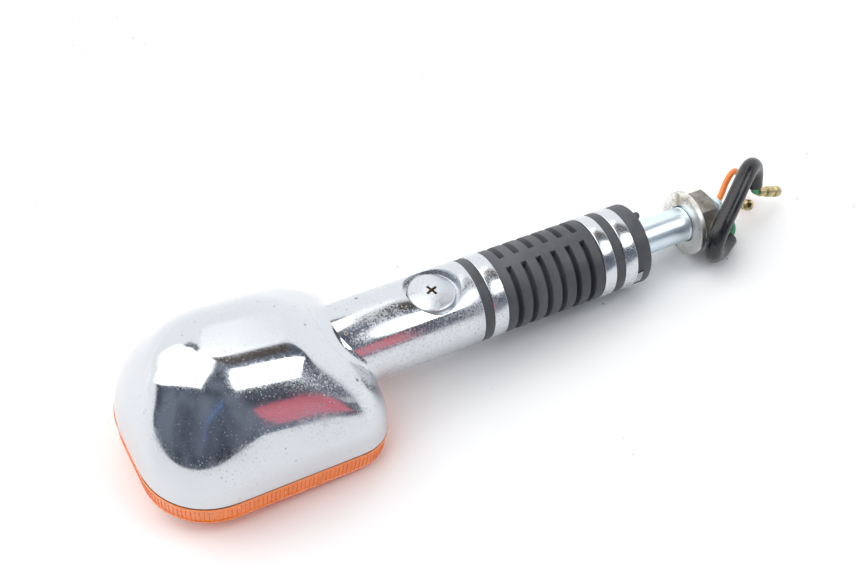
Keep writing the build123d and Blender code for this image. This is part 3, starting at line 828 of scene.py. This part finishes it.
choose(sleeve, "f", inSlot)
bpy.ops.mesh.extrude_region_shrink_fatten(TRANSFORM_OT_shrink_fatten={"value": -flex["depth"] * mm})
calm()
roundEdges(sleeve, 0.28, 2, 40)


def sleeveHalf(name, side, *bend):
    # one half of the sleeve, cut off in the middle of its centre rib and closed there
    half = copyOf(sleeve, name)
    middle = flex["start"] + flex["length"] / 2
    editing(half)
    bpy.ops.mesh.select_all(action="SELECT")
    bpy.ops.mesh.bisect(plane_co=(middle * mm, 0, 0), plane_no=(side, 0, 0), clear_inner=True)
    choose(half, "e", lambda a, b: abs(a.x - middle) < 0.001 and abs(b.x - middle) < 0.001)
    bpy.ops.mesh.bridge_edge_loops()
    tidyMesh(half)
    smooth(half, 40)
    coat(half, rubber)
    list(bend[:2])
    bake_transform(half)
    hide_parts("flex_sleeve")


sleeveHalf("flexSleeveMountHalf", 1, "mount_side", "damper", -23.3, -36.7)
sleeveHalf("flexSleeveLampHalf", -1, "damper", "lamp", -36.7, -50.1)
print("flexible sleeve", len(sleeve.data.polygons))
only(sleeve)
bpy.ops.object.delete()

# rod, washer and nut
rod = {
    "start": -23.3, "shoulder": -5.5, "shank": 5.7, "radius": 6.0, "bore": 3.9, "end": 37.0,
    "threadFrom": 21.0, "pitch": 1.25, "threadDepth": 0.45,
}
grooveRadius = rod["radius"] - rod["threadDepth"]
threadLine = []
station = rod["threadFrom"]
while station < rod["end"] - 1.2:
    threadLine += [(station + 0.25, grooveRadius), (station + 0.55, grooveRadius),
                   (station + 0.95, rod["radius"]), (station + rod["pitch"], rod["radius"])]
    station += rod["pitch"]
mountingRod = lathe("mountingRod", [
    (rod["start"], rod["bore"]), (rod["start"], rod["shank"]), (rod["shoulder"], rod["shank"]),
    (rod["shoulder"], rod["radius"]), (rod["threadFrom"], rod["radius"]),
    *threadLine, (rod["end"] - 0.55, rod["radius"] - 0.1), (rod["end"], rod["radius"] - 0.6),
    (rod["end"], rod["bore"] + 0.3), (rod["end"] - 0.3, rod["bore"]), (rod["start"], rod["bore"]),
], 96)
smooth(mountingRod, 30)
coat(mountingRod, zinc)
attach(mountingRod, "mount_side")
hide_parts("mounting_rod")

plainWasher = lathe("plainWasher", [
    (22.2, 6.6), (22.2, 10.9), (22.35, 11.15), (22.7, 11.25), (23.9, 11.25), (24.3, 11.1), (24.5, 10.8),
    (24.5, 6.6), (24.3, 6.4), (22.4, 6.4), (22.2, 6.6),
], 96)
smooth(plainWasher, 35)
coat(plainWasher, washerSteel)
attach(plainWasher, "washer")
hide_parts("washer")

nut = {"x": 24.55, "thick": 7.5, "flats": 17.0}
hexEnd = nut["x"] + nut["thick"]
nutMiddle = (nut["x"] + nut["thick"] / 2, 0, 0)
hexNut = cylinder(nut["flats"] / 2 / cos(pi / 6), nut["thick"], nutMiddle, 6, (0, pi / 2, 0))
hexNut.name = "hexNut"
chamfer = lathe("chamfer", [
    (nut["x"] - 0.1, 0.0), (nut["x"] - 0.1, 8.4), (nut["x"], 8.5), (nut["x"] + 1.0, 10.2),
    (hexEnd - 1.0, 10.2), (hexEnd, 8.5), (hexEnd + 0.1, 8.4), (hexEnd + 0.1, 0.0),
], 96)
carve(hexNut, chamfer, "INTERSECT")
bore = lathe("nutBore", [
    (nut["x"] - 1, 0.0), (nut["x"] - 1, 6.9), (nut["x"], 6.7), (nut["x"] + 0.7, 6.03), (hexEnd - 0.7, 6.03),
    (hexEnd, 6.7), (hexEnd + 1, 6.9), (hexEnd + 1, 0.0),
], 72)
carve(hexNut, bore)
roundEdges(hexNut, 0.2, 2, 25)
smooth(hexNut, 25)
coat(hexNut, nutSteel)
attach(hexNut, "nut")
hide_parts("nut")
print("rod, washer and nut")

# bullet terminals
def bulletTerminal(name, root, tip):
    # crimp, waist, ribbed barrel and hollow nose, turned on X and swung onto its line
    reach = (Vector(tip) - Vector(root)).length
    scale = reach / 11.5
    piece = lathe(name, [(a * scale, r) for a, r in (
        (0.0, 0.0), (0.0, 1.45), (0.6, 1.65), (2.6, 1.65), (3.0, 1.3), (3.7, 1.3), (4.1, 1.85), (4.9, 1.95),
        (6.9, 1.95), (7.3, 1.55), (7.9, 1.55), (8.3, 1.95), (10.2, 1.95), (11.1, 1.6), (11.5, 1.15),
        (11.3, 0.9), (7.5, 0.8), (7.5, 0.0),
    )], 40)
    along = (Vector(tip) - Vector(root)).normalized()
    piece.rotation_mode = "QUATERNION"
    piece.rotation_quaternion = Vector((1, 0, 0)).rotation_difference(along)
    piece.location = Vector(root) * mm
    settle(piece)
    smooth(piece, 35)
    coat(piece, brass)
    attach(piece, "mount_side")
    return piece


greenBullet = bulletTerminal("greenBullet", (54.9, 0.7, 1.6), (65.0, 0.2, -1.8))
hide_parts("bullet_green")
orangeBullet = bulletTerminal("orangeBullet", (51.0, 2.3, -4.5), (47.3, -4.0, 2.5))
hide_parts("bullet_orange")

for piece, finish, node in (
    (sleeveTube, sleeveVinyl, "wire_sleeve"), (orangeCord, orangeVinyl, "orange_wire"),
    (greenStart, greenVinyl, "green_root"), (greenEnd, greenVinyl, "green_tail"),
):
    coat(piece, finish)
    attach(piece, "mount_side")
    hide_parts(node)
print("terminals and wires")

# pieces that keep their own shape
for names, finish in (
    (("lens_gasket", "socket_grommet"), rubber), (("reflector",), reflectorBright),
    (("bulb_socket", "contact_spring"), socketSteel), (("contact_plunger",), phenolic),
    (("bulb_base",), bulbBrass), (("bulb_glass",), bulbClear), (("bulb_filament",), filamentWire),
    (("stem_insert", "rod_insert"), castZinc), (("lamp_live_lead", "rod_live_lead"), orangeVinyl),
    (("lamp_earth_lead", "rod_earth_lead"), greenVinyl),
):
    for name in names:
        coatNode(name, finish)

# floor, tilted under the resting lamp as it leans on its lens and washer
floorSet = {"size": 3.0, "lean": 5.5, "touch": (24.5, 0, -11.35)}
calm()
bpy.ops.mesh.primitive_plane_add(size=floorSet["size"], location=Vector(floorSet["touch"]) * mm,
                                 rotation=(0, -radians(floorSet["lean"]), 0))
floor = bpy.context.object
floor.name = "floor"
settle(floor)
floorPaint = Finish("paleFloor", (0.93, 0.93, 0.925), 0.55)
crumbs = floorPaint.between(floorPaint.cells(130), 0.040, 0.070, 1.0, 0.0)
crumbSpread = floorPaint.between(floorPaint.noise(17, 3), 0.51, 0.57)
floorTone = floorPaint.between(floorPaint.noise(9, 3), 0.35, 0.7)
floorColor = floorPaint.blendColor(floorTone, (0.95, 0.95, 0.95), (0.91, 0.915, 0.91))
floorColor = floorPaint.blendColor(crumbs * crumbSpread * 0.8, floorColor, (0.38, 0.34, 0.30))
floorPaint.feed("Base Color", floorColor)
coat(floor, floorPaint)

# light
# a white backdrop behind, a dim room above and in front, and bright panels, each by (azimuth, elevation)
roomSet = {
    "backdrop": (1.18, 1.20, 1.22), "dimAxis": (-120, 45), "dimReach": 83, "soft": 0.02,
    "dim": ((0.060, 0.072, 0.095), (0.22, 0.25, 0.31)),
}
panels = [
    ((2.4, 2.4, 2.4), [(154, 4), (126, 5), (89, 61), (-112, 82), (-143, 49)]),
    ((2.4, 2.4, 2.4), [(89, 61), (53, 43), (49, 46), (-112, 82)]),
    ((4.0, 4.0, 4.0), [(-20, 67), (-9, 36), (-42, 38), (-72, 47), (-60, 62)]),
    ((0.11, 0.090, 0.075), [(5, 70), (60, 66), (45, 50), (5, 48)]),
    ((0.16, 0.26, 0.50), [(-131, 12), (-125, 22), (-98, 42), (-104, 32)]),
    ((0.85, 0.85, 0.85), [(-40, 24), (-27, 19), (-25, 14), (-38, 17)]),
]


def toward(azimuth, elevation):
    flat = cos(radians(elevation))
    return Vector((flat * cos(radians(azimuth)), flat * sin(radians(azimuth)), sin(radians(elevation))))


room = bpy.data.worlds.new("room")
bpy.context.scene.world = room
room.use_nodes = True
sky = Tree(room.node_tree, "Generated")
dimness = sky.blendColor(sky.between(sky.noise(2.6, 3), 0.35, 0.65), *roomSet["dim"])
dimEdge = cos(radians(roomSet["dimReach"]))
towardDim = sky.along(toward(*roomSet["dimAxis"]))
inDim = sky.between(towardDim, dimEdge - roomSet["soft"], dimEdge + roomSet["soft"])
skyColor = sky.blendColor(inDim, roomSet["backdrop"], dimness)
for color, spots in panels:
    corners = [toward(*spot) for spot in spots]
    centre = sum(corners, Vector()).normalized()
    inside = None
    for here, there in zip(corners, corners[1:] + corners[:1]):
        border = here.cross(there).normalized()
        border = border if border.dot(centre) > 0 else -border
        part = sky.between(sky.along(border), -roomSet["soft"] / 3, roomSet["soft"] / 3)
        inside = inside * part if inside else part
    skyColor = sky.blendColor(inside, skyColor, color)
room.node_tree.links.new(skyColor.socket, room.node_tree.nodes["Background"].inputs["Color"])
bpy.context.scene.view_settings.view_transform = "Standard"

# a small red card close to the lamp, that only shows as a reflection
card = {"place": (-78.4, -113, 42), "toward": (-60, 17), "width": 68, "height": 44, "power": 0.0062}
cardLight = bpy.data.lights.new("redCard", "AREA")
cardLight.shape = "RECTANGLE"
cardLight.size = card["width"] * mm
cardLight.size_y = card["height"] * mm
cardLight.energy = card["power"]
cardLight.color = (1.0, 0.09, 0.10)
redCard = bpy.data.objects.new("redCard", cardLight)
bpy.context.collection.objects.link(redCard)
redCard.location = Vector(card["place"]) * mm
redCard.rotation_euler = (-toward(*card["toward"])).to_track_quat("-Z", "Y").to_euler()
redCard.visible_camera = False
redCard.visible_diffuse = False

bpy.context.view_layer.update()
print("done")
